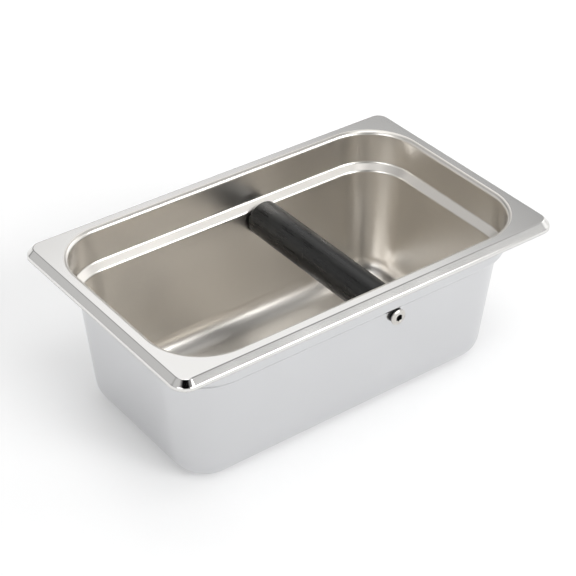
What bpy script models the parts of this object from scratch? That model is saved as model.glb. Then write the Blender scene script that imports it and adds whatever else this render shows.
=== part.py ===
"""Coffee grounds bin: a quarter-size stainless steel pan with a rubber-sleeved knock bar.

Metres, +Z up. The origin is the middle of the pan's underside. X runs along the pan's length
and Y across it, with the front at negative Y. The knock bar crosses the pan along Y.
"""
import math

import bmesh
import bpy

# Sheet metal and the gap between touching pieces
SHEET = 0.0008
GAP = 0.0003

# Rim, measured over its outer edges
RIM_LENGTH = 0.265
RIM_WIDTH = 0.162
PAN_HEIGHT = 0.100
RIM_CORNER_RADIUS = 0.0103

# Flange and the lip that is rolled down round it
FLANGE_WIDTH = 0.00742
FLANGE_BEND_RADIUS = 0.0012
LIP_RUN = 0.00368
LIP_FALL = 0.00381
LIP_DEPTH = 0.0057
LIP_BEND_RADIUS = 0.0022

# Well: a straight collar, a sloping stacking ledge and drafted lower walls
WELL_EDGE_RADIUS = 0.0028
WELL_CORNER_RADIUS = 0.033
TIGHTEST_CORNER_RADIUS = 0.003
COLLAR_DEPTH = 0.0216
COLLAR_DRAFT = math.radians(1.7)
LEDGE_RUN = 0.0045
LEDGE_FALL = 0.0044
LEDGE_BEND_RADIUS = 0.0026
WALL_DRAFT = math.radians(5.86)
FLOOR_FILLET_RADIUS = 0.0146

# Knock bar, and the room between its screws' heads and the ledge above them
BAR_OFFSET = 0.0250
LEDGE_CLEARANCE = 0.0006
CORE_DIAMETER = 0.012
CORE_CHAMFER = 0.0005
CORE_HOLE_DEPTH = 0.014
SLEEVE_DIAMETER = 0.0224
SLEEVE_EDGE_RADIUS = 0.0012

# Screws
SCREW_DIAMETER = 0.006
SCREW_LENGTH = 0.018
SCREW_POINT_CHAMFER = 0.0006
HEAD_DIAMETER = 0.0100
HEAD_HEIGHT = 0.0015
HEAD_RIM_HEIGHT = 0.0006
HEAD_FLAT_DIAMETER = 0.0064
SOCKET_ACROSS_FLATS = 0.004
SOCKET_DEPTH = 0.0022
SOCKET_SIDES = 6

# Rubber seals on both sides of each drilled wall
OUTER_SEAL_DIAMETER = 0.0088
OUTER_SEAL_THICKNESS = 0.0012
INNER_SEAL_DIAMETER = 0.012
INNER_SEAL_THICKNESS = 0.0015

# How far a cutter runs past what it cuts
OVERRUN = 0.002

# Smoothness
RIM_CORNER_STEPS = 10
BEND_STEP = math.radians(12.0)
EDGE_STEPS = 3
DOME_STEPS = 4
SLEEVE_SIDES = 48
CORE_SIDES = 32
SCREW_SIDES = 32
SEAL_SIDES = 32
SHARP_ANGLE = math.radians(35.0)

# Worked out from the sizes above
LENGTH_EXTRA = (RIM_LENGTH - RIM_WIDTH) / 2
HALF_WIDTH = RIM_WIDTH / 2
WELL_HALF_WIDTH = HALF_WIDTH - LIP_RUN - FLANGE_WIDTH
RIM_CORNER_CENTRE = HALF_WIDTH - RIM_CORNER_RADIUS
WELL_CORNER_CENTRE = WELL_HALF_WIDTH - WELL_CORNER_RADIUS
LEDGE_TOP_HEIGHT = PAN_HEIGHT - COLLAR_DEPTH
LEDGE_TOP_HALF_WIDTH = WELL_HALF_WIDTH - COLLAR_DEPTH * math.tan(COLLAR_DRAFT)
LEDGE_FOOT_HEIGHT = LEDGE_TOP_HEIGHT - LEDGE_FALL
LEDGE_FOOT_HALF_WIDTH = LEDGE_TOP_HALF_WIDTH - LEDGE_RUN
BAR_HEIGHT = LEDGE_FOOT_HEIGHT - LEDGE_CLEARANCE - HEAD_DIAMETER / 2
SCREW_HOLE_RADIUS = SCREW_DIAMETER / 2 + GAP


def wall_inside(height):
    """Half width between the drafted walls' inner faces at a height above the underside."""
    return LEDGE_FOOT_HALF_WIDTH - (LEDGE_FOOT_HEIGHT - height) * math.tan(WALL_DRAFT)


def wall_outside(height):
    """Half width over the drafted walls' outer faces at a height above the underside."""
    return wall_inside(height) + SHEET / math.cos(WALL_DRAFT)


# Distances from the pan's middle plane along the bar's axis
WALL_INSIDE_AT_BAR = wall_inside(BAR_HEIGHT)
WALL_OUTSIDE_AT_BAR = wall_outside(BAR_HEIGHT)
OUTER_SEAL_FACE = WALL_OUTSIDE_AT_BAR + GAP + OUTER_SEAL_THICKNESS
HEAD_UNDERSIDE = OUTER_SEAL_FACE + GAP
INNER_SEAL_FACE = WALL_INSIDE_AT_BAR - GAP - INNER_SEAL_THICKNESS
CORE_HALF_LENGTH = INNER_SEAL_FACE - GAP
SLEEVE_HALF_LENGTH = wall_inside(BAR_HEIGHT - SLEEVE_DIAMETER / 2) - GAP


# Scene, collections and materials

def clear_scene():
    for item in list(bpy.data.objects):
        bpy.data.objects.remove(item, do_unlink=True)


def new_collection(name):
    collection = bpy.data.collections.new(name)
    bpy.context.scene.collection.children.link(collection)
    return collection


def new_material(name, colour, roughness, metallic):
    material = bpy.data.materials.new(name)
    material.use_nodes = True
    shader = material.node_tree.nodes["Principled BSDF"]
    shader.inputs["Base Color"].default_value = (*colour, 1.0)
    shader.inputs["Roughness"].default_value = roughness
    shader.inputs["Metallic"].default_value = metallic
    return material


def new_object(name, mesh, collection, material=None, parent=None, turn=None):
    """An object for a mesh, turned about its parent's origin where it has one."""
    item = bpy.data.objects.new(name, mesh)
    collection.objects.link(item)
    if material is not None:
        mesh.materials.append(material)
    if parent is not None:
        item.parent = parent
    if turn is not None:
        item.rotation_euler = turn
    return item


def shade_smooth(mesh):
    mesh.shade_smooth()
    mesh.set_sharp_from_angle(angle=SHARP_ANGLE)


# Profiles

def arc(centre, radius, start, end, steps):
    """Points of an arc from one angle to another, both ends included."""
    points = []
    for step in range(steps + 1):
        angle = start + (end - start) * step / steps
        points.append((centre[0] + radius * math.cos(angle), centre[1] + radius * math.sin(angle)))
    return points


def dome(inner, top, outer, rim):
    """Points of a sphere's profile about the axis, from a flat's edge down to a rim."""
    centre = (top ** 2 - rim ** 2 + inner ** 2 - outer ** 2) / (2 * (top - rim))
    radius = math.hypot(outer, rim - centre)
    start = math.atan2(top - centre, inner)
    end = math.atan2(rim - centre, outer)
    return arc((0.0, centre), radius, start, end, DOME_STEPS)


def bend(before, corner, after, radius):
    """Points of the arc that rounds a corner of a profile, no longer than half of each side."""
    back = (before[0] - corner[0], before[1] - corner[1])
    ahead = (after[0] - corner[0], after[1] - corner[1])
    back_length = math.hypot(*back)
    ahead_length = math.hypot(*ahead)
    back = (back[0] / back_length, back[1] / back_length)
    ahead = (ahead[0] / ahead_length, ahead[1] / ahead_length)
    inner_angle = math.acos(back[0] * ahead[0] + back[1] * ahead[1])
    tangent = min(radius / math.tan(inner_angle / 2), back_length / 2, ahead_length / 2)
    radius = tangent * math.tan(inner_angle / 2)
    middle = (back[0] + ahead[0], back[1] + ahead[1])
    reach = radius / math.sin(inner_angle / 2) / math.hypot(*middle)
    centre = (corner[0] + middle[0] * reach, corner[1] + middle[1] * reach)
    first = (corner[0] + back[0] * tangent, corner[1] + back[1] * tangent)
    start = math.atan2(first[1] - centre[1], first[0] - centre[0])
    turn = math.pi - inner_angle
    if back[0] * ahead[1] - back[1] * ahead[0] > 0:
        turn = -turn
    steps = max(2, round(abs(turn) / BEND_STEP))
    return arc(centre, radius, start, start + turn, steps)


def sheet_profile():
    """The side of the sheet that is seen from above, from the lip's edge to the floor.

    Each point is a half width across the pan and a height, and each has its ring's corner centre.
    """
    lip_edge = (HALF_WIDTH, PAN_HEIGHT - LIP_DEPTH)
    lip_corner = (HALF_WIDTH, PAN_HEIGHT - LIP_FALL)
    flange_corner = (HALF_WIDTH - LIP_RUN, PAN_HEIGHT)
    well_edge = (WELL_HALF_WIDTH, PAN_HEIGHT)
    ledge_top = (LEDGE_TOP_HALF_WIDTH, LEDGE_TOP_HEIGHT)
    ledge_foot = (LEDGE_FOOT_HALF_WIDTH, LEDGE_FOOT_HEIGHT)
    floor_corner = (wall_inside(SHEET), SHEET)
    floor_middle = (0.0, SHEET)

    rim = [lip_edge]
    rim += bend(lip_edge, lip_corner, flange_corner, LIP_BEND_RADIUS)
    rim += bend(lip_corner, flange_corner, well_edge, FLANGE_BEND_RADIUS)
    well = bend(flange_corner, well_edge, ledge_top, WELL_EDGE_RADIUS)
    well += bend(well_edge, ledge_top, ledge_foot, LEDGE_BEND_RADIUS)
    well += bend(ledge_top, ledge_foot, floor_corner, LEDGE_BEND_RADIUS)
    well += bend(ledge_foot, floor_corner, floor_middle, FLOOR_FILLET_RADIUS)
    return [(point, RIM_CORNER_CENTRE) for point in rim] + [(point, WELL_CORNER_CENTRE) for point in well]


def rounded_rectangle(half_width, corner_centre):
    """One ring round the pan, anticlockwise from above."""
    radius = max(half_width - corner_centre, TIGHTEST_CORNER_RADIUS)
    centre_y = half_width - radius
    centre_x = centre_y + LENGTH_EXTRA
    points = []
    for quarter, (side_x, side_y) in enumerate(((1, 1), (-1, 1), (-1, -1), (1, -1))):
        start = quarter * math.pi / 2
        corner = (side_x * centre_x, side_y * centre_y)
        points += arc(corner, radius, start, start + math.pi / 2, RIM_CORNER_STEPS)
    return points


# Mesh makers

def pan_sheet_mesh():
    """The open surface of the pan: rounded rectangles of unlike corners, joined ring by ring."""
    sheet = bmesh.new()
    rings = []
    for (half_width, height), corner_centre in sheet_profile():
        outline = rounded_rectangle(half_width, corner_centre)
        rings.append([sheet.verts.new((x, y, height)) for x, y in outline])
    for outer, inner in zip(rings, rings[1:]):
        for index, vertex in enumerate(outer):
            following = (index + 1) % len(outer)
            sheet.faces.new((vertex, outer[following], inner[following], inner[index]))
    sheet.faces.new(rings[-1])
    mesh = bpy.data.meshes.new("pan_sheet")
    sheet.to_mesh(mesh)
    sheet.free()
    shade_smooth(mesh)
    return mesh


def profile_mesh(name, points, closed):
    """A chain of edges in the XZ plane, which a Screw modifier turns about Z."""
    count = len(points)
    edges = [(index, index + 1) for index in range(count - 1)]
    if closed:
        edges.append((count - 1, 0))
    mesh = bpy.data.meshes.new(name)
    mesh.from_pydata([(radius, 0.0, height) for radius, height in points], edges, [])
    return mesh


def turned_object(name, points, sides, collection, material, parent, turn, closed=False):
    """A piece turned from half a profile, either closed or with both ends on the axis."""
    item = new_object(name, profile_mesh(name, points, closed), collection, material, parent, turn)
    screw = item.modifiers.new("turned", "SCREW")
    screw.axis = "Z"
    screw.angle = 2 * math.pi
    screw.steps = sides
    screw.render_steps = sides
    screw.use_merge_vertices = True
    screw.merge_threshold = GAP / 10
    screw.use_smooth_shade = True
    return item


def cylinder_mesh(name, radius, depth, sides):
    solid = bmesh.new()
    bmesh.ops.create_cone(solid, cap_ends=True, segments=sides, radius1=radius, radius2=radius, depth=depth)
    mesh = bpy.data.meshes.new(name)
    solid.to_mesh(mesh)
    solid.free()
    return mesh


def block_mesh(name, width, depth, height):
    solid = bmesh.new()
    bmesh.ops.create_cube(solid, size=1.0)
    bmesh.ops.scale(solid, verts=solid.verts, vec=(width, depth, height))
    mesh = bpy.data.meshes.new(name)
    solid.to_mesh(mesh)
    solid.free()
    return mesh


def cut(item, cutter):
    """Takes one object's shape out of another, and keeps the cutter out of the model."""
    cutter.display_type = "WIRE"
    cutter.hide_render = True
    boolean = item.modifiers.new(cutter.name, "BOOLEAN")
    boolean.operation = "DIFFERENCE"
    boolean.solver = "EXACT"
    boolean.object = cutter


# Pieces

def make_pan(parts, cutters, steel, bar_axis):
    pan = new_object("pan", pan_sheet_mesh(), parts, steel)
    thicken = pan.modifiers.new("sheet", "SOLIDIFY")
    thicken.thickness = SHEET
    thicken.offset = -1.0
    thicken.use_even_offset = True
    thicken.use_quality_normals = True
    hole_length = 2 * (HALF_WIDTH + OVERRUN)
    drill = cylinder_mesh("screw_hole_drill", SCREW_HOLE_RADIUS, hole_length, SCREW_SIDES)
    drill_object = new_object("screw_hole_drill", drill, cutters, None, bar_axis, (math.pi / 2, 0.0, 0.0))
    cut(pan, drill_object)
    normals = pan.modifiers.new("normals", "WEIGHTED_NORMAL")
    normals.keep_sharp = True


def make_core(parts, steel, bar_axis, along_bar):
    """Solid rod with a tapped blind hole in each end, turned from one half profile."""
    radius = CORE_DIAMETER / 2
    end = CORE_HALF_LENGTH
    upper = [
        (0.0, end - CORE_HOLE_DEPTH),
        (SCREW_HOLE_RADIUS, end - CORE_HOLE_DEPTH),
        (SCREW_HOLE_RADIUS, end),
        (radius - CORE_CHAMFER, end),
        (radius, end - CORE_CHAMFER),
    ]
    lower = [(across, -height) for across, height in reversed(upper)]
    turned_object("knock_bar_core", upper + lower, CORE_SIDES, parts, steel, bar_axis, along_bar)


def make_sleeve(parts, rubber, bar_axis, along_bar):
    """Thick rubber tube with rounded outer edges, slid over the core."""
    outer = SLEEVE_DIAMETER / 2
    bore = CORE_DIAMETER / 2 + GAP
    edge = SLEEVE_EDGE_RADIUS
    corner = (outer - edge, SLEEVE_HALF_LENGTH - edge)
    upper = [(bore, SLEEVE_HALF_LENGTH)]
    upper += arc(corner, edge, math.pi / 2, 0.0, EDGE_STEPS)
    lower = [(across, -height) for across, height in reversed(upper)]
    profile = upper + lower
    turned_object("knock_bar_sleeve", profile, SLEEVE_SIDES, parts, rubber, bar_axis, along_bar, closed=True)


def make_screw(name, side_turn, parts, cutters, steel, bar_axis):
    """Domed head with a hexagon socket, on a plain shank that stands for the thread."""
    head = HEAD_DIAMETER / 2
    flat = HEAD_FLAT_DIAMETER / 2
    shank = SCREW_DIAMETER / 2
    top = HEAD_UNDERSIDE + HEAD_HEIGHT
    rim = HEAD_UNDERSIDE + HEAD_RIM_HEIGHT
    tip = HEAD_UNDERSIDE - SCREW_LENGTH
    profile = [(0.0, top)]
    profile += dome(flat, top, head, rim)
    profile.append((head, HEAD_UNDERSIDE))
    profile.append((shank, HEAD_UNDERSIDE))
    profile.append((shank, tip + SCREW_POINT_CHAMFER))
    profile.append((shank - SCREW_POINT_CHAMFER, tip))
    profile.append((0.0, tip))
    screw = turned_object(name, profile, SCREW_SIDES, parts, steel, bar_axis, side_turn)

    across_corners = SOCKET_ACROSS_FLATS / math.cos(math.pi / SOCKET_SIDES)
    key_length = SOCKET_DEPTH + OVERRUN
    key_mesh = cylinder_mesh(name + "_key", across_corners / 2, key_length, SOCKET_SIDES)
    for vertex in key_mesh.vertices:
        vertex.co.z += top - SOCKET_DEPTH + key_length / 2
    key = new_object(name + "_key", key_mesh, cutters, None, bar_axis, side_turn)
    cut(screw, key)


def make_seal(name, side_turn, washer, material, parts, bar_axis):
    return turned_object(name, washer, SEAL_SIDES, parts, material, bar_axis, side_turn, closed=True)


def trim(item, name, side_turn, face, away, cutters, bar_axis):
    """Cuts a washer parallel to the drafted wall, at a face given where it crosses the bar's axis.

    Away is 1 to cut what lies outside the face and -1 to cut what lies inside it.
    """
    size = SLEEVE_DIAMETER
    block = block_mesh(name, size, size, size)
    for vertex in block.vertices:
        vertex.co.z += away * size / 2 + face + vertex.co.y * math.tan(WALL_DRAFT)
    cut(item, new_object(name, block, cutters, None, bar_axis, side_turn))


def outer_seal_washer():
    """Profile of the washer between the screw's head and the wall, before it is trimmed."""
    bore = SCREW_HOLE_RADIUS
    rim = OUTER_SEAL_DIAMETER / 2
    deepest = WALL_OUTSIDE_AT_BAR - rim
    return [(bore, OUTER_SEAL_FACE), (rim, OUTER_SEAL_FACE), (rim, deepest), (bore, deepest)]


def inner_seal_washer():
    """Profile of the washer between the bar's end and the wall, before it is trimmed."""
    bore = SCREW_HOLE_RADIUS
    rim = INNER_SEAL_DIAMETER / 2
    highest = WALL_INSIDE_AT_BAR + rim
    return [(bore, highest), (rim, highest), (rim, INNER_SEAL_FACE), (bore, INNER_SEAL_FACE)]


def main():
    clear_scene()
    parts = new_collection("coffee_grounds_bin")
    cutters = new_collection("cutters")
    steel = new_material("brushed_stainless", (0.62, 0.62, 0.61), 0.3, 1.0)
    bar_steel = new_material("bar_steel", (0.55, 0.55, 0.54), 0.35, 1.0)
    screw_steel = new_material("screw_steel", (0.66, 0.66, 0.65), 0.25, 1.0)
    bar_rubber = new_material("bar_rubber", (0.022, 0.022, 0.022), 0.55, 0.0)
    seal_rubber = new_material("seal_rubber", (0.015, 0.015, 0.015), 0.6, 0.0)

    bar_axis = bpy.data.objects.new("bar_axis", None)
    bar_axis.location = (BAR_OFFSET, 0.0, BAR_HEIGHT)
    parts.objects.link(bar_axis)

    # A local Z axis along the bar with local Y upright, pointing out of the front or the back
    front_turn = (math.pi / 2, 0.0, 0.0)
    back_turn = (math.pi / 2, 0.0, math.pi)

    make_pan(parts, cutters, steel, bar_axis)
    make_core(parts, bar_steel, bar_axis, front_turn)
    make_sleeve(parts, bar_rubber, bar_axis, front_turn)
    outer_face = WALL_OUTSIDE_AT_BAR + GAP
    inner_face = WALL_INSIDE_AT_BAR - GAP
    for side, side_turn in (("front", front_turn), ("back", back_turn)):
        make_screw("screw_" + side, side_turn, parts, cutters, screw_steel, bar_axis)
        outer = make_seal("seal_outer_" + side, side_turn, outer_seal_washer(), seal_rubber, parts, bar_axis)
        trim(outer, "wall_outside_" + side, side_turn, outer_face, -1, cutters, bar_axis)
        inner = make_seal("seal_inner_" + side, side_turn, inner_seal_washer(), seal_rubber, parts, bar_axis)
        trim(inner, "wall_inside_" + side, side_turn, inner_face, 1, cutters, bar_axis)


main()
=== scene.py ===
"""Looks for the coffee grounds bin: fine meshes, procedural finishes, studio and camera.

Metres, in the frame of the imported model: X along the pan, the front at negative Y, Z up.
"""

import math

import bmesh
import bpy
from mathutils import Matrix, Vector


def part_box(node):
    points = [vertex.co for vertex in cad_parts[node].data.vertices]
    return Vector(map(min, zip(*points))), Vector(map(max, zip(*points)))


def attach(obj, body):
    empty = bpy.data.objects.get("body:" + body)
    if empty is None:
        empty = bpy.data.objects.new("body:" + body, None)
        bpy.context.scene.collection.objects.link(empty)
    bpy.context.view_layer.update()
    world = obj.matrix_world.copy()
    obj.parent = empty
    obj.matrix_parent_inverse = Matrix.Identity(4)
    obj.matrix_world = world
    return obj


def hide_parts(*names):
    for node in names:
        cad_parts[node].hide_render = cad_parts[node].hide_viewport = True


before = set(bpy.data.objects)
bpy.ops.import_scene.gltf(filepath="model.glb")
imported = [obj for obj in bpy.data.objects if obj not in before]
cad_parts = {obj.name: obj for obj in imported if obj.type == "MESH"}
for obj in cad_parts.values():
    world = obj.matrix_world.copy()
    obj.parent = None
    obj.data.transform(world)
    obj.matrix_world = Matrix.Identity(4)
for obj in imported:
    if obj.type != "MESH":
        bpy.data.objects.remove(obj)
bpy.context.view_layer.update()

# Sheet of the pan, and its rim, flange and rolled lip
SHEET = 0.0008
GAP = 0.0003
RIM_CORNER_RADIUS = 0.0103
FLANGE_WIDTH = 0.00742
FLANGE_BEND_RADIUS = 0.0012
LIP_RUN = 0.00368
LIP_FALL = 0.00381
LIP_DEPTH = 0.0057
LIP_BEND_RADIUS = 0.0022

# Well of the pan
WELL_EDGE_RADIUS = 0.0028
WELL_CORNER_RADIUS = 0.033
TIGHTEST_CORNER_RADIUS = 0.003
COLLAR_DEPTH = 0.0216
COLLAR_DRAFT = math.radians(1.7)
LEDGE_RUN = 0.0045
LEDGE_FALL = 0.0044
LEDGE_BEND_RADIUS = 0.0026
WALL_DRAFT = math.radians(5.86)
FLOOR_FILLET_RADIUS = 0.0146

# Knock bar, screws and seals
SLEEVE_EDGE_RADIUS = 0.0012
CORE_DIAMETER = 0.012
SCREW_DIAMETER = 0.006
THREAD_PITCH = 0.001
THREAD_DEPTH = 0.00055
THREAD_FLANK_STEEPNESS = 2.6
THREAD_ROOT_FLATNESS = 1.2
THREAD_RUN_OUT = 0.0012
SCREW_POINT_CHAMFER = 0.0006
HEAD_HEIGHT = 0.0015
HEAD_RIM_HEIGHT = 0.0006
HEAD_FLAT_DIAMETER = 0.0064
SOCKET_ACROSS_FLATS = 0.004
SOCKET_DEPTH = 0.0022
SOCKET_CHAMFER = 0.00025
SOCKET_SIDES = 6
SEAL_EDGE_RADIUS = 0.0003

# Smoothness
RIM_CORNER_STEPS = 28
BEND_STEP = math.radians(5.0)
LEAST_BEND_STEPS = 4
EDGE_STEPS = 8
SLEEVE_SIDES = 128
SCREW_SIDES = 72
SEAL_SIDES = 72
THREAD_STEPS = 8
SHARP_ANGLE = math.radians(32.0)

# Places worked out from the frame
PAN_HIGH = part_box("pan")[1]
HALF_LENGTH = PAN_HIGH.x
HALF_WIDTH = PAN_HIGH.y
PAN_HEIGHT = PAN_HIGH.z
LENGTH_EXTRA = HALF_LENGTH - HALF_WIDTH
WELL_HALF_WIDTH = HALF_WIDTH - LIP_RUN - FLANGE_WIDTH
RIM_CORNER_CENTRE = HALF_WIDTH - RIM_CORNER_RADIUS
WELL_CORNER_CENTRE = WELL_HALF_WIDTH - WELL_CORNER_RADIUS
LEDGE_TOP_HEIGHT = PAN_HEIGHT - COLLAR_DEPTH
LEDGE_TOP_HALF_WIDTH = WELL_HALF_WIDTH - COLLAR_DEPTH * math.tan(COLLAR_DRAFT)
LEDGE_FOOT_HEIGHT = LEDGE_TOP_HEIGHT - LEDGE_FALL
LEDGE_FOOT_HALF_WIDTH = LEDGE_TOP_HALF_WIDTH - LEDGE_RUN
CORE_LOW, CORE_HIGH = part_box("knock_bar_core")
BAR_AXIS = (CORE_LOW + CORE_HIGH) / 2
SLEEVE_LOW, SLEEVE_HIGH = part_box("knock_bar_sleeve")
OVERRUN = HALF_WIDTH / 10
MERGE_DISTANCE = GAP / 10

# Material slots: the pan's rim, its outer skin, which is two slots after the upper one, and the
# inside of a screw's socket, painted dark as shade
RIM_SLOT = 1
OUTSIDE_SLOT = 2
SOCKET_SHADE_SLOT = 1


def wall_inside(height):
    """Half width between the drafted walls' inner faces at a height above the underside."""
    return LEDGE_FOOT_HALF_WIDTH - (LEDGE_FOOT_HEIGHT - height) * math.tan(WALL_DRAFT)


# Turns a piece made along +Z, with its Y upright, to point out of the front or the back
SIDE_TURNS = {
    "front": Matrix.Rotation(math.pi / 2, 4, "X"),
    "back": Matrix.Rotation(math.pi, 4, "Z") @ Matrix.Rotation(math.pi / 2, 4, "X"),
}


# Node helpers

class Nodes:
    """A node tree with short calls for the nodes that the finishes share."""

    def __init__(self, tree):
        self.tree = tree
        self.tree.nodes.clear()

    def add(self, kind, **settings):
        node = self.tree.nodes.new(kind)
        for name, value in settings.items():
            setattr(node, name, value)
        return node

    def feed(self, socket, value):
        """Links an output to a socket, or sets the socket's own value."""
        if isinstance(value, bpy.types.NodeSocket):
            self.tree.links.new(value, socket)
        else:
            socket.default_value = value

    def math(self, operation, *values):
        node = self.add("ShaderNodeMath", operation=operation)
        for socket, value in zip(node.inputs, values):
            self.feed(socket, value)
        return node.outputs[0]

    def remap(self, value, low, high, to_low, to_high):
        node = self.add("ShaderNodeMapRange", interpolation_type="SMOOTHSTEP")
        self.feed(node.inputs["Value"], value)
        self.feed(node.inputs["From Min"], low)
        self.feed(node.inputs["From Max"], high)
        self.feed(node.inputs["To Min"], to_low)
        self.feed(node.inputs["To Max"], to_high)
        return node.outputs[0]

    def spread(self, noise, lowest, highest):
        """A noise spread over a range of values."""
        return self.remap(noise, NOISE_LOW, NOISE_HIGH, lowest, highest)

    def mix(self, second_share, first, second):
        """A colour between two others."""
        node = self.add("ShaderNodeMix", data_type="RGBA")
        self.feed(node.inputs["Factor"], second_share)
        self.feed(node.inputs[6], first)
        self.feed(node.inputs[7], second)
        return node.outputs[2]

    def place(self, stretch=(1.0, 1.0, 1.0)):
        """Object coordinates, with each axis scaled."""
        coordinates = self.add("ShaderNodeTexCoord")
        mapping = self.add("ShaderNodeMapping")
        self.feed(mapping.inputs["Vector"], coordinates.outputs["Object"])
        self.feed(mapping.inputs["Scale"], stretch)
        return mapping.outputs["Vector"]

    def noise(self, size, stretch=(1.0, 1.0, 1.0), detail=2.0, roughness=0.5):
        """Smooth noise whose features are about the given size in metres."""
        node = self.add("ShaderNodeTexNoise")
        self.feed(node.inputs["Vector"], self.place(stretch))
        self.feed(node.inputs["Scale"], 1.0 / size)
        self.feed(node.inputs["Detail"], detail)
        self.feed(node.inputs["Roughness"], roughness)
        return node.outputs["Fac"]

    def bump(self, height, distance, under=None):
        """A bumped normal, a distance deep for heights from 0 to 1, over another one if given."""
        node = self.add("ShaderNodeBump")
        self.feed(node.inputs["Height"], height)
        self.feed(node.inputs["Distance"], distance)
        if under is not None:
            self.feed(node.inputs["Normal"], under)
        return node.outputs["Normal"]


def new_material(name):
    """A material, its nodes and its Principled shader, which is already linked to the output."""
    material = bpy.data.materials.new(name)
    material.use_nodes = True
    nodes = Nodes(material.node_tree)
    shader = nodes.add("ShaderNodeBsdfPrincipled")
    output = nodes.add("ShaderNodeOutputMaterial")
    nodes.feed(output.inputs["Surface"], shader.outputs["BSDF"])
    return material, nodes, shader


# Finishes

# Most of a noise lies between these two values
NOISE_LOW = 0.3
NOISE_HIGH = 0.7

# Drawn sheet of the pan: a warm satin well, a smooth neutral rim and a cooler, darker outside.
# These colours of one steel are painted light: the well is warmed for the light it bounces inside
# itself, and the outside is cooled and darkened as painted shade
# Warmed as painted light, for the warm light bounced round inside the well
WELL_WARM_LIT_COLOUR = (0.806, 0.777, 0.733)
WELL_ROUGHNESS = 0.29
WELL_GRAIN_DEPTH = 0.0000004
RIM_COLOUR = (0.745, 0.735, 0.720)
RIM_ROUGHNESS = 0.11
RIM_GRAIN_DEPTH = 0.0000002
# Cooler and darker as painted shade, for the shaded table that the outer walls reflect
OUTSIDE_SHADED_COLOUR = (0.630, 0.634, 0.644)
OUTSIDE_ROUGHNESS = 0.20
OUTSIDE_GRAIN_DEPTH = 0.0000003
SHEET_GRAIN_SIZE = 0.0005
SHEET_GRAIN_STRETCH = (1.0, 1.0, 0.25)
SHEET_CLOUD_SIZE = 0.035
SHEET_DARKEST_TONE = 0.975
SHEET_LIGHTEST_TONE = 1.025
SHEET_ROUGHNESS_SPREAD = 0.015
SHEET_WAVE_SIZE = 0.06
SHEET_WAVE_DEPTH = 0.00008

# Turned steel of the screws and the core, and the painted shade inside a socket
SCREW_COLOUR = (0.62, 0.60, 0.57)
SCREW_ROUGHNESS = 0.22
SCREW_RING_WIDTH = 0.0002
CORE_COLOUR = (0.60, 0.59, 0.57)
CORE_ROUGHNESS = 0.32
CORE_RING_WIDTH = 0.0003
TURNED_DARKEST_TONE = 0.94
TURNED_SMOOTHER = 0.04
TURNED_ROUGHER = 0.05
RING_STRETCH = (0.05, 1.0, 0.05)
RING_WIDTH_TO_DEPTH = 20
# Painted shade: near-black colours for the inside of a socket, in place of the steel's own colour
SOCKET_SHADE_DARKEST = (0.004, 0.004, 0.004)
SOCKET_SHADE_LIGHTEST = (0.010, 0.009, 0.008)
SOCKET_SCRATCH_SIZE = 0.0003
SOCKET_SCRATCH_DEPTH = 0.000008

# Rubber of the sleeve, streaked along the bar, and of the washers
SLEEVE_DARKEST = (0.005, 0.005, 0.005)
SLEEVE_LIGHTEST = (0.020, 0.020, 0.019)
SLEEVE_SMOOTHEST = 0.26
SLEEVE_ROUGHEST = 0.38
STREAK_SIZE = 0.0009
STREAK_STRETCH = (1.0, 0.03, 1.0)
STREAK_DEPTH = 0.00003
STREAK_CONTRAST = 0.3
SCUFF_SIZE = 0.006
SCUFF_STRETCH = (1.0, 0.5, 1.0)
SCUFF_ROUGHNESS_SPREAD = 0.05
SLEEVE_PORE_SIZE = 0.00025
SLEEVE_PORE_DEPTH = 0.000002
SEAL_DARKEST = (0.008, 0.008, 0.008)
SEAL_LIGHTEST = (0.016, 0.016, 0.016)
SEAL_PORE_SIZE = 0.0002
SEAL_PORE_DEPTH = 0.000008


def tone(colour, brightness=1.0):
    """A colour as a shader takes it, made darker or lighter."""
    return (*(channel * brightness for channel in colour), 1.0)


def pan_steel(name, colour, roughness, grain_depth):
    """Deep-drawn stainless sheet with fine grain, faint clouds of tone and slight waves."""
    material, nodes, shader = new_material(name)
    grain = nodes.noise(SHEET_GRAIN_SIZE, stretch=SHEET_GRAIN_STRETCH, detail=2.0)
    clouds = nodes.noise(SHEET_CLOUD_SIZE, detail=3.0)
    waves = nodes.noise(SHEET_WAVE_SIZE, detail=1.0)
    darkest = tone(colour, SHEET_DARKEST_TONE)
    lightest = tone(colour, SHEET_LIGHTEST_TONE)
    nodes.feed(shader.inputs["Base Color"], nodes.mix(clouds, darkest, lightest))
    nodes.feed(shader.inputs["Metallic"], 1.0)
    smoothest = roughness - SHEET_ROUGHNESS_SPREAD
    roughest = roughness + SHEET_ROUGHNESS_SPREAD
    nodes.feed(shader.inputs["Roughness"], nodes.spread(clouds, smoothest, roughest))
    normal = nodes.bump(waves, SHEET_WAVE_DEPTH)
    normal = nodes.bump(grain, grain_depth, under=normal)
    nodes.feed(shader.inputs["Normal"], normal)
    return material


def turned_steel(name, colour, roughness, ring_width):
    """Machined stainless with fine rings round the bar's axis."""
    material, nodes, shader = new_material(name)
    rings = nodes.noise(ring_width, stretch=RING_STRETCH, detail=2.0)
    specks = nodes.noise(ring_width * 2, detail=2.0)
    darkest = tone(colour, TURNED_DARKEST_TONE)
    nodes.feed(shader.inputs["Base Color"], nodes.mix(specks, darkest, tone(colour)))
    nodes.feed(shader.inputs["Metallic"], 1.0)
    smoothest = roughness - TURNED_SMOOTHER
    roughest = roughness + TURNED_ROUGHER
    nodes.feed(shader.inputs["Roughness"], nodes.spread(rings, smoothest, roughest))
    nodes.feed(shader.inputs["Normal"], nodes.bump(rings, ring_width / RING_WIDTH_TO_DEPTH))
    return material


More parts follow.
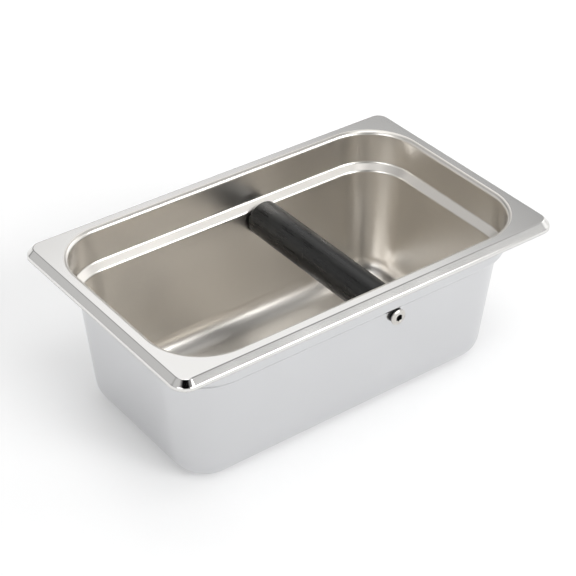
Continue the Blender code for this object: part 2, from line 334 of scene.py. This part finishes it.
def sleeve_rubber():
    """Black moulded rubber, semi-gloss, with streaks along the bar."""
    material, nodes, shader = new_material("sleeve_rubber")
    streaks = nodes.noise(STREAK_SIZE, stretch=STREAK_STRETCH, detail=3.0, roughness=0.6)
    pores = nodes.noise(SLEEVE_PORE_SIZE, detail=2.0)
    scuffs = nodes.noise(SCUFF_SIZE, stretch=SCUFF_STRETCH, detail=4.0, roughness=0.65)
    streaked = nodes.remap(streaks, 0.35, 0.65, 1.0 - STREAK_CONTRAST, 1.0 + STREAK_CONTRAST)
    worn = nodes.math("MULTIPLY", scuffs, streaked)
    colour = nodes.mix(worn, tone(SLEEVE_DARKEST), tone(SLEEVE_LIGHTEST))
    nodes.feed(shader.inputs["Base Color"], colour)
    from_scuffs = nodes.spread(scuffs, -SCUFF_ROUGHNESS_SPREAD, SCUFF_ROUGHNESS_SPREAD)
    from_streaks = nodes.spread(streaks, SLEEVE_SMOOTHEST, SLEEVE_ROUGHEST)
    nodes.feed(shader.inputs["Roughness"], nodes.math("ADD", from_scuffs, from_streaks))
    shader.inputs["Specular IOR Level"].default_value = 0.42
    normal = nodes.bump(streaks, STREAK_DEPTH)
    normal = nodes.bump(pores, SLEEVE_PORE_DEPTH, under=normal)
    nodes.feed(shader.inputs["Normal"], normal)
    return material


def seal_rubber():
    """Matt black rubber of the washers."""
    material, nodes, shader = new_material("seal_rubber")
    pores = nodes.noise(SEAL_PORE_SIZE, detail=3.0)
    colour = nodes.mix(pores, tone(SEAL_DARKEST), tone(SEAL_LIGHTEST))
    nodes.feed(shader.inputs["Base Color"], colour)
    nodes.feed(shader.inputs["Roughness"], nodes.spread(pores, lowest=0.5, highest=0.65))
    nodes.feed(shader.inputs["Normal"], nodes.bump(pores, SEAL_PORE_DEPTH))
    return material


def painted_socket_shade():
    """Painted shade inside a screw's socket, which light hardly reaches: a near-black colour in
    place of the steel, with faint scratches.
    """
    material, nodes, shader = new_material("painted_socket_shade")
    scratches = nodes.noise(SOCKET_SCRATCH_SIZE, detail=3.0)
    colour = nodes.mix(scratches, tone(SOCKET_SHADE_DARKEST), tone(SOCKET_SHADE_LIGHTEST))
    nodes.feed(shader.inputs["Base Color"], colour)
    nodes.feed(shader.inputs["Roughness"], nodes.spread(scratches, lowest=0.6, highest=0.8))
    shader.inputs["Specular IOR Level"].default_value = 0.1
    nodes.feed(shader.inputs["Normal"], nodes.bump(scratches, SOCKET_SCRATCH_DEPTH))
    return material


# Shape helpers

def arc(centre, radius, start, end, steps):
    """Points of an arc from one angle to another, both ends included."""
    points = []
    for step in range(steps + 1):
        angle = start + (end - start) * step / steps
        points.append((centre[0] + radius * math.cos(angle), centre[1] + radius * math.sin(angle)))
    return points


def bend(before, corner, after, radius):
    """Points of the arc that rounds a corner of a profile, no longer than half of each side."""
    back = Vector(before) - Vector(corner)
    ahead = Vector(after) - Vector(corner)
    inner_angle = back.angle(ahead)
    longest = min(back.length, ahead.length) / 2
    tangent = min(radius / math.tan(inner_angle / 2), longest)
    radius = tangent * math.tan(inner_angle / 2)
    back.normalize()
    ahead.normalize()
    centre = Vector(corner) + (back + ahead).normalized() * radius / math.sin(inner_angle / 2)
    first = Vector(corner) + back * tangent - centre
    start = math.atan2(first.y, first.x)
    turn = math.pi - inner_angle
    if back.x * ahead.y - back.y * ahead.x > 0:
        turn = -turn
    steps = max(LEAST_BEND_STEPS, round(abs(turn) / BEND_STEP))
    return arc(centre, radius, start, start + turn, steps)


def finish_mesh(solid, name):
    """Turns a bmesh into a smooth-shaded mesh that keeps its sharp edges."""
    mesh = bpy.data.meshes.new(name)
    bmesh.ops.recalc_face_normals(solid, faces=solid.faces)
    solid.to_mesh(mesh)
    solid.free()
    mesh.shade_smooth()
    mesh.set_sharp_from_angle(angle=SHARP_ANGLE)
    return mesh


def new_piece(name, mesh, material):
    item = bpy.data.objects.new(name, mesh)
    bpy.context.scene.collection.objects.link(item)
    mesh.materials.append(material)
    return item


def join_rings(solid, rings, close_ends):
    """Faces between rings of equally many points, with caps on the first and last if asked."""
    made = [[solid.verts.new(point) for point in ring] for ring in rings]
    for first, second in zip(made, made[1:]):
        for index, vertex in enumerate(first):
            following = (index + 1) % len(first)
            solid.faces.new((vertex, first[following], second[following], second[index]))
    if close_ends:
        solid.faces.new(list(reversed(made[0])))
        solid.faces.new(made[-1])
    return made


def circle(radius, height, sides):
    points = []
    for index in range(sides):
        angle = 2 * math.pi * index / sides
        points.append(Vector((radius * math.cos(angle), radius * math.sin(angle), height)))
    return points


# Pan

def sheet_profile():
    """The sheet's upper side, as half widths and heights, each with its corner centre."""
    lip_edge = (HALF_WIDTH, PAN_HEIGHT - LIP_DEPTH)
    lip_corner = (HALF_WIDTH, PAN_HEIGHT - LIP_FALL)
    flange_corner = (HALF_WIDTH - LIP_RUN, PAN_HEIGHT)
    well_edge = (WELL_HALF_WIDTH, PAN_HEIGHT)
    ledge_top = (LEDGE_TOP_HALF_WIDTH, LEDGE_TOP_HEIGHT)
    ledge_foot = (LEDGE_FOOT_HALF_WIDTH, LEDGE_FOOT_HEIGHT)
    floor_corner = (wall_inside(SHEET), SHEET)
    floor_middle = (0.0, SHEET)

    rim = [lip_edge]
    rim += bend(lip_edge, lip_corner, flange_corner, LIP_BEND_RADIUS)
    rim += bend(lip_corner, flange_corner, well_edge, FLANGE_BEND_RADIUS)
    well = bend(flange_corner, well_edge, ledge_top, WELL_EDGE_RADIUS)
    well += bend(well_edge, ledge_top, ledge_foot, LEDGE_BEND_RADIUS)
    well += bend(ledge_top, ledge_foot, floor_corner, LEDGE_BEND_RADIUS)
    well += bend(ledge_foot, floor_corner, floor_middle, FLOOR_FILLET_RADIUS)
    rim_part = [(point, RIM_CORNER_CENTRE) for point in rim]
    well_part = [(point, WELL_CORNER_CENTRE) for point in well]
    return rim_part + well_part


def rounded_rectangle(half_width, height, corner_centre):
    """One ring round the pan, anticlockwise from above."""
    radius = max(half_width - corner_centre, TIGHTEST_CORNER_RADIUS)
    centre_y = half_width - radius
    centre_x = centre_y + LENGTH_EXTRA
    points = []
    for quarter, (side_x, side_y) in enumerate(((1, 1), (-1, 1), (-1, -1), (1, -1))):
        start = quarter * math.pi / 2
        corner = (side_x * centre_x, side_y * centre_y)
        outline = arc(corner, radius, start, start + math.pi / 2, RIM_CORNER_STEPS)
        points += [Vector((x, y, height)) for x, y in outline]
    return points


def make_pan(well_steel, rim_steel, outside_steel):
    """The deep-drawn pan, thickened from its upper surface and drilled for the screws."""
    sheet = bmesh.new()
    rings = [rounded_rectangle(*point, corner_centre) for point, corner_centre in sheet_profile()]
    made = join_rings(sheet, rings, close_ends=False)
    sheet.faces.new(made[-1])
    corner_centres = [corner_centre for _, corner_centre in sheet_profile()]
    rim_faces = corner_centres.count(RIM_CORNER_CENTRE) * len(rings[0])
    for face in list(sheet.faces)[:rim_faces]:
        face.material_index = RIM_SLOT
    pan = new_piece("bin_pan", finish_mesh(sheet, "bin_pan"), well_steel)
    for steel in (rim_steel, outside_steel, outside_steel):
        pan.data.materials.append(steel)

    thicken = pan.modifiers.new("sheet", "SOLIDIFY")
    thicken.thickness = SHEET
    thicken.material_offset = OUTSIDE_SLOT
    thicken.offset = -1.0
    thicken.use_even_offset = True
    thicken.use_quality_normals = True
    drill_mesh = bmesh.new()
    hole = SCREW_DIAMETER / 2 + GAP
    reach = HALF_WIDTH + OVERRUN
    drill_ends = [circle(hole, -reach, SCREW_SIDES), circle(hole, reach, SCREW_SIDES)]
    join_rings(drill_mesh, drill_ends, close_ends=True)
    drill = new_piece("screw_hole_drill", finish_mesh(drill_mesh, "screw_hole_drill"), well_steel)
    drill.matrix_world = Matrix.Translation(BAR_AXIS) @ SIDE_TURNS["front"]
    boolean = pan.modifiers.new("screw_holes", "BOOLEAN")
    boolean.operation = "DIFFERENCE"
    boolean.solver = "EXACT"
    boolean.object = drill
    normals = pan.modifiers.new("normals", "WEIGHTED_NORMAL")
    normals.keep_sharp = True
    bake_modifiers(pan)
    bpy.data.objects.remove(drill)
    return pan


def bake_modifiers(item):
    """Replaces an object's mesh by the result of its modifiers."""
    bpy.context.view_layer.update()
    evaluated = item.evaluated_get(bpy.context.evaluated_depsgraph_get())
    item.data = bpy.data.meshes.new_from_object(evaluated)
    item.modifiers.clear()


# Knock bar

def make_sleeve(rubber):
    """Thick rubber tube with rounded outer edges."""
    outer = (SLEEVE_HIGH.x - SLEEVE_LOW.x) / 2
    half_length = SLEEVE_HIGH.y
    bore = CORE_DIAMETER / 2 + GAP
    corner = (outer - SLEEVE_EDGE_RADIUS, half_length - SLEEVE_EDGE_RADIUS)
    upper = [(bore, half_length)]
    upper += arc(corner, SLEEVE_EDGE_RADIUS, math.pi / 2, 0.0, EDGE_STEPS)
    lower = [(across, -height) for across, height in reversed(upper)]
    profile = upper + lower
    profile.append(profile[0])
    rings = [circle(across, height, SLEEVE_SIDES) for across, height in profile]
    solid = bmesh.new()
    join_rings(solid, rings, close_ends=False)
    bmesh.ops.remove_doubles(solid, verts=solid.verts, dist=MERGE_DISTANCE)
    solid.transform(Matrix.Translation(BAR_AXIS) @ SIDE_TURNS["front"])
    return new_piece("knock_bar_rubber", finish_mesh(solid, "knock_bar_rubber"), rubber)


# Screws

def hexagon(height, sides):
    """A ring of as many points as the round ones, along a hexagon."""
    points = []
    apothem = SOCKET_ACROSS_FLATS / 2
    sector = 2 * math.pi / SOCKET_SIDES
    for index in range(sides):
        angle = 2 * math.pi * index / sides
        from_flat = (angle + sector / 2) % sector - sector / 2
        radius = apothem / math.cos(from_flat)
        points.append(Vector((radius * math.cos(angle), radius * math.sin(angle), height)))
    return points


def thread_ring(height, tip, start):
    """A ring of a right-handed thread's helix, which fades out towards the head and the tip."""
    major = SCREW_DIAMETER / 2
    points = []
    fade = min(1.0, (start - height) / THREAD_RUN_OUT, (height - tip) / THREAD_RUN_OUT)
    for index in range(SCREW_SIDES):
        angle = 2 * math.pi * index / SCREW_SIDES
        phase = (height / THREAD_PITCH - index / SCREW_SIDES) % 1.0
        groove = max(0.0, 1.0 - abs(phase - 0.5) * THREAD_FLANK_STEEPNESS)
        cut = min(1.0, groove * THREAD_ROOT_FLATNESS)
        radius = major - THREAD_DEPTH * cut * max(0.0, fade)
        points.append(Vector((radius * math.cos(angle), radius * math.sin(angle), height)))
    return points


def make_screw(side, steel, socket_painted_shade):
    """Domed head with a chamfered hexagon socket, painted dark inside as shade, on a threaded
    shank.
    """
    low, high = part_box("screw_" + side)
    face = high.y if side == "back" else -low.y
    tip = low.y if side == "back" else -high.y
    underside = face - HEAD_HEIGHT
    head = (high.x - low.x) / 2
    flat = HEAD_FLAT_DIAMETER / 2
    shank = SCREW_DIAMETER / 2
    rim = underside + HEAD_RIM_HEIGHT
    socket_round = SOCKET_ACROSS_FLATS / 2 / math.cos(math.pi / SOCKET_SIDES) + SOCKET_CHAMFER / 2
    middle = (face ** 2 - rim ** 2 + flat ** 2 - head ** 2) / (2 * (face - rim))
    dome = arc((0.0, middle), math.hypot(head, rim - middle), math.atan2(face - middle, flat),
               math.atan2(rim - middle, head), EDGE_STEPS)
    socket_floor = face - SOCKET_DEPTH
    chamfer_foot = face - SOCKET_CHAMFER

    rings = [hexagon(socket_floor, SCREW_SIDES), hexagon(chamfer_foot, SCREW_SIDES)]
    rings.append(circle(socket_round, face, SCREW_SIDES))
    rings += [circle(across, height, SCREW_SIDES) for across, height in dome]
    rings.append(circle(head, underside, SCREW_SIDES))
    rings.append(circle(shank, underside, SCREW_SIDES))
    thread_end = tip + SCREW_POINT_CHAMFER
    count = round((underside - thread_end) / THREAD_PITCH * THREAD_STEPS)
    for step in range(1, count + 1):
        height = underside + (thread_end - underside) * step / count
        rings.append(thread_ring(height, thread_end, underside))
    rings.append(circle(shank - SCREW_POINT_CHAMFER, tip, SCREW_SIDES))
    solid = bmesh.new()
    join_rings(solid, rings, close_ends=True)
    for side_face in solid.faces:
        place = side_face.calc_center_median()
        if place.xy.length < socket_round and socket_floor - GAP < place.z < chamfer_foot:
            # The socket's walls and floor take the painted shade
            side_face.material_index = SOCKET_SHADE_SLOT
    solid.transform(Matrix.Translation((BAR_AXIS.x, 0.0, BAR_AXIS.z)) @ SIDE_TURNS[side])
    screw = new_piece("button_screw_" + side, finish_mesh(solid, "button_screw_" + side), steel)
    screw.data.materials.append(socket_painted_shade)
    return screw


# Seals

def make_seal(node, side, at_wall, rubber):
    """A rubber washer with rounded edges, cut parallel to the drafted wall on its wall side.

    At_wall is the distance of the wall-side face from the pan's middle plane on the bar's axis.
    """
    low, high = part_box(node)
    outer = (high.x - low.x) / 2
    bore = SCREW_DIAMETER / 2 + GAP
    nearest, furthest = (low.y, high.y) if side == "back" else (-high.y, -low.y)
    outwards = node.startswith("seal_outer")
    flat_face = furthest if outwards else nearest
    edge = SEAL_EDGE_RADIUS
    thickness = abs(flat_face - at_wall)
    profile = [(bore, 0.0)]
    profile += arc((outer - edge, edge), edge, -math.pi / 2, 0.0, EDGE_STEPS)
    profile += arc((outer - edge, thickness - edge), edge, 0.0, math.pi / 2, EDGE_STEPS)
    profile.append((bore, thickness))
    profile.append(profile[0])
    solid = bmesh.new()
    rings = []
    for across, depth in profile:
        ring = circle(across, 0.0, SEAL_SIDES)
        for point in ring:
            wall = at_wall + point.y * math.tan(WALL_DRAFT)
            point.z = wall + (flat_face - wall) * depth / thickness
        rings.append(ring)
    join_rings(solid, rings, close_ends=False)
    bmesh.ops.remove_doubles(solid, verts=solid.verts, dist=MERGE_DISTANCE)
    solid.transform(Matrix.Translation((BAR_AXIS.x, 0.0, BAR_AXIS.z)) @ SIDE_TURNS[side])
    return new_piece(node.replace("seal", "washer"), finish_mesh(solid, node), rubber)


# Pieces of the object

well_steel = pan_steel("well_steel", WELL_WARM_LIT_COLOUR, WELL_ROUGHNESS, WELL_GRAIN_DEPTH)
rim_steel = pan_steel("rim_steel", RIM_COLOUR, RIM_ROUGHNESS, RIM_GRAIN_DEPTH)
outside_steel = pan_steel("outside_steel", OUTSIDE_SHADED_COLOUR, OUTSIDE_ROUGHNESS, OUTSIDE_GRAIN_DEPTH)
rubber = sleeve_rubber()
washer_rubber = seal_rubber()
screw_steel = turned_steel("screw_steel", SCREW_COLOUR, SCREW_ROUGHNESS, SCREW_RING_WIDTH)
socket_painted_shade = painted_socket_shade()
core_steel = turned_steel("core_steel", CORE_COLOUR, CORE_ROUGHNESS, CORE_RING_WIDTH)

pan = make_pan(well_steel, rim_steel, outside_steel)
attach(pan, "bin")
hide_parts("pan")

sleeve = make_sleeve(rubber)
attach(sleeve, "sleeve")
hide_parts("knock_bar_sleeve")

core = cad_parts["knock_bar_core"]
core.data.materials.clear()
core.data.materials.append(core_steel)

inner_wall = wall_inside(BAR_AXIS.z)
outer_wall = inner_wall + SHEET / math.cos(WALL_DRAFT)
for side in SIDE_TURNS:
    screw = make_screw(side, screw_steel, socket_painted_shade)
    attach(screw, "bin")
    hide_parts("screw_" + side)
    wall_sides = {"seal_outer_" + side: outer_wall + GAP, "seal_inner_" + side: inner_wall - GAP}
    for node, at_wall in wall_sides.items():
        seal = make_seal(node, side, at_wall, washer_rubber)
        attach(seal, "bin")
        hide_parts(node)


# Studio

FLOOR_SIZE = 6.0
FLOOR_COLOUR = (0.9, 0.9, 0.9, 1.0)
FLOOR_GLOW = 0.14


def seen_directly(nodes):
    """1 for rays from the camera, reflections and glass, and 0 for the rest."""
    path = nodes.add("ShaderNodeLightPath")
    seen = nodes.math("MAXIMUM", path.outputs["Is Camera Ray"], path.outputs["Is Glossy Ray"])
    return nodes.math("MAXIMUM", seen, path.outputs["Is Transmission Ray"])


def make_floor():
    """A plain white table that keeps the object's soft shadow."""
    half = FLOOR_SIZE / 2
    mesh = bpy.data.meshes.new("studio_floor")
    corners = [(-half, -half, 0.0), (half, -half, 0.0), (half, half, 0.0), (-half, half, 0.0)]
    mesh.from_pydata(corners, [], [(0, 1, 2, 3)])
    material = bpy.data.materials.new("studio_floor")
    material.use_nodes = True
    nodes = Nodes(material.node_tree)
    diffuse = nodes.add("ShaderNodeBsdfDiffuse")
    nodes.feed(diffuse.inputs["Color"], FLOOR_COLOUR)
    glow = nodes.add("ShaderNodeEmission")
    nodes.feed(glow.inputs["Strength"], nodes.math("MULTIPLY", seen_directly(nodes), FLOOR_GLOW))
    both = nodes.add("ShaderNodeAddShader")
    nodes.feed(both.inputs[0], diffuse.outputs[0])
    nodes.feed(both.inputs[1], glow.outputs[0])
    output = nodes.add("ShaderNodeOutputMaterial")
    nodes.feed(output.inputs["Surface"], both.outputs[0])
    floor = new_piece("studio_floor", mesh, material)


# Soft round lights of the studio. Each has the azimuth of its middle, from straight behind the
# object towards its right, its elevation, the half angles of its full part and its faded edge, all
# in degrees, and its brightness
SOFT_LIGHTS = {
    "behind": (35, 42, 8, 13, 0.4),
    "behind, wide": (28, 46, 10, 26, 0.5),
    "behind, high": (30, 62, 8, 16, 0.3),
    "overhead": (340, 84, 15, 30, 0.85),
    "right": (90, 18, 15, 35, 1.0),
    "right, high": (75, 38, 8, 18, 0.8),
    "front right": (165, 22, 12, 24, 4.4),
    "front right, wide": (128, 35, 10, 22, 0.42),
    "front strip": (161, 36, 6, 9, 4.2),
    "front strip, right": (142, 31, 2, 5, 6.0),
    "front, high": (185, 69, 8, 16, 2.2),
    "left": (275, 36, 12, 24, 0.4),
    "left, behind": (320, 30, 10, 20, 0.4),
    "front left": (245, 26, 10, 20, 2.4),
    "left, high": (235, 68, 8, 18, 1.0),
}
ROOM_LIGHT = 0.27

# The dark of the room in front of the near corner, given like the lights but without a brightness
DARK_PLACE = (214, 45, 14, 24)

# The white horizon all round, up to where it has faded into the room
HORIZON_TOP = math.radians(9.0)
HORIZON_FADE = math.radians(13.0)


def towards(azimuth, elevation):
    """Unit vector for an azimuth from straight behind towards the right, and an elevation."""
    turn, rise = math.radians(azimuth), math.radians(elevation)
    return (math.sin(turn) * math.cos(rise), math.cos(turn) * math.cos(rise), math.sin(rise))


def round_patch(nodes, direction, azimuth, elevation, full, faded):
    """1 within a half angle of a direction, and 0 past its faded edge."""
    product = nodes.add("ShaderNodeVectorMath", operation="DOT_PRODUCT")
    nodes.feed(product.inputs[0], direction)
    nodes.feed(product.inputs[1], towards(azimuth, elevation))
    outer, inner = math.cos(math.radians(faded)), math.cos(math.radians(full))
    return nodes.remap(product.outputs["Value"], outer, inner, 0.0, 1.0)


def make_world():
    """Plain soft studio: a dim room with soft round lights over a white horizon."""
    world = bpy.data.worlds.new("studio")
    bpy.context.scene.world = world
    world.use_nodes = True
    nodes = Nodes(world.node_tree)
    direction = nodes.add("ShaderNodeTexCoord").outputs["Generated"]
    light = ROOM_LIGHT
    for azimuth, elevation, full, faded, brightness in SOFT_LIGHTS.values():
        patch = round_patch(nodes, direction, azimuth, elevation, full, faded)
        light = nodes.math("MULTIPLY_ADD", patch, brightness, light)
    dark = round_patch(nodes, direction, *DARK_PLACE)
    light = nodes.math("MULTIPLY", light, nodes.math("SUBTRACT", 1.0, dark))
    parts = nodes.add("ShaderNodeSeparateXYZ")
    nodes.feed(parts.inputs[0], direction)
    low, high = math.sin(HORIZON_TOP), math.sin(HORIZON_FADE)
    above = nodes.remap(parts.outputs["Z"], low, high, 0.0, 1.0)
    room = nodes.math("MULTIPLY", above, light)
    horizon = nodes.math("SUBTRACT", 1.0, above)
    strength = nodes.math("ADD", room, horizon)
    background = nodes.add("ShaderNodeBackground")
    nodes.feed(background.inputs["Color"], (1.0, 1.0, 1.0, 1.0))
    nodes.feed(background.inputs["Strength"], strength)
    output = nodes.add("ShaderNodeOutputWorld")
    nodes.feed(output.inputs["Surface"], background.outputs[0])


# Camera, fitted to the edges in the photograph. Its roll is in radians, its shifts are metres from
# the middle of the bin along the picture's right and up, and its lens and sensor are millimetres

CAMERA_AZIMUTH = math.radians(-37.247)
CAMERA_ELEVATION = math.radians(35.194)
CAMERA_ROLL = 0.00918
CAMERA_DISTANCE = 1.02656
CAMERA_SHIFT_RIGHT = -0.00201832
CAMERA_SHIFT_UP = 0.00893394
CAMERA_LENS = 108.63
SENSOR_WIDTH = 36.0


def make_camera():
    target = Vector((0.0, 0.0, PAN_HEIGHT / 2))
    back = Vector((
        math.sin(CAMERA_AZIMUTH) * math.cos(CAMERA_ELEVATION),
        -math.cos(CAMERA_AZIMUTH) * math.cos(CAMERA_ELEVATION),
        math.sin(CAMERA_ELEVATION),
    ))
    level = Vector((math.cos(CAMERA_AZIMUTH), math.sin(CAMERA_AZIMUTH), 0.0))
    upright = back.cross(level)
    right = level * math.cos(CAMERA_ROLL) + upright * math.sin(CAMERA_ROLL)
    up = upright * math.cos(CAMERA_ROLL) - level * math.sin(CAMERA_ROLL)
    data = bpy.data.cameras.new("camera")
    data.lens = CAMERA_LENS
    data.sensor_width = SENSOR_WIDTH
    camera = bpy.data.objects.new("camera", data)
    bpy.context.scene.collection.objects.link(camera)
    place = target + right * CAMERA_SHIFT_RIGHT + up * CAMERA_SHIFT_UP + back * CAMERA_DISTANCE
    turn = Matrix((right, up, back)).transposed().to_4x4()
    camera.matrix_world = Matrix.Translation(place) @ turn
    bpy.context.scene.camera = camera


make_floor()
make_world()
make_camera()
bpy.context.scene.view_settings.view_transform = "Standard"
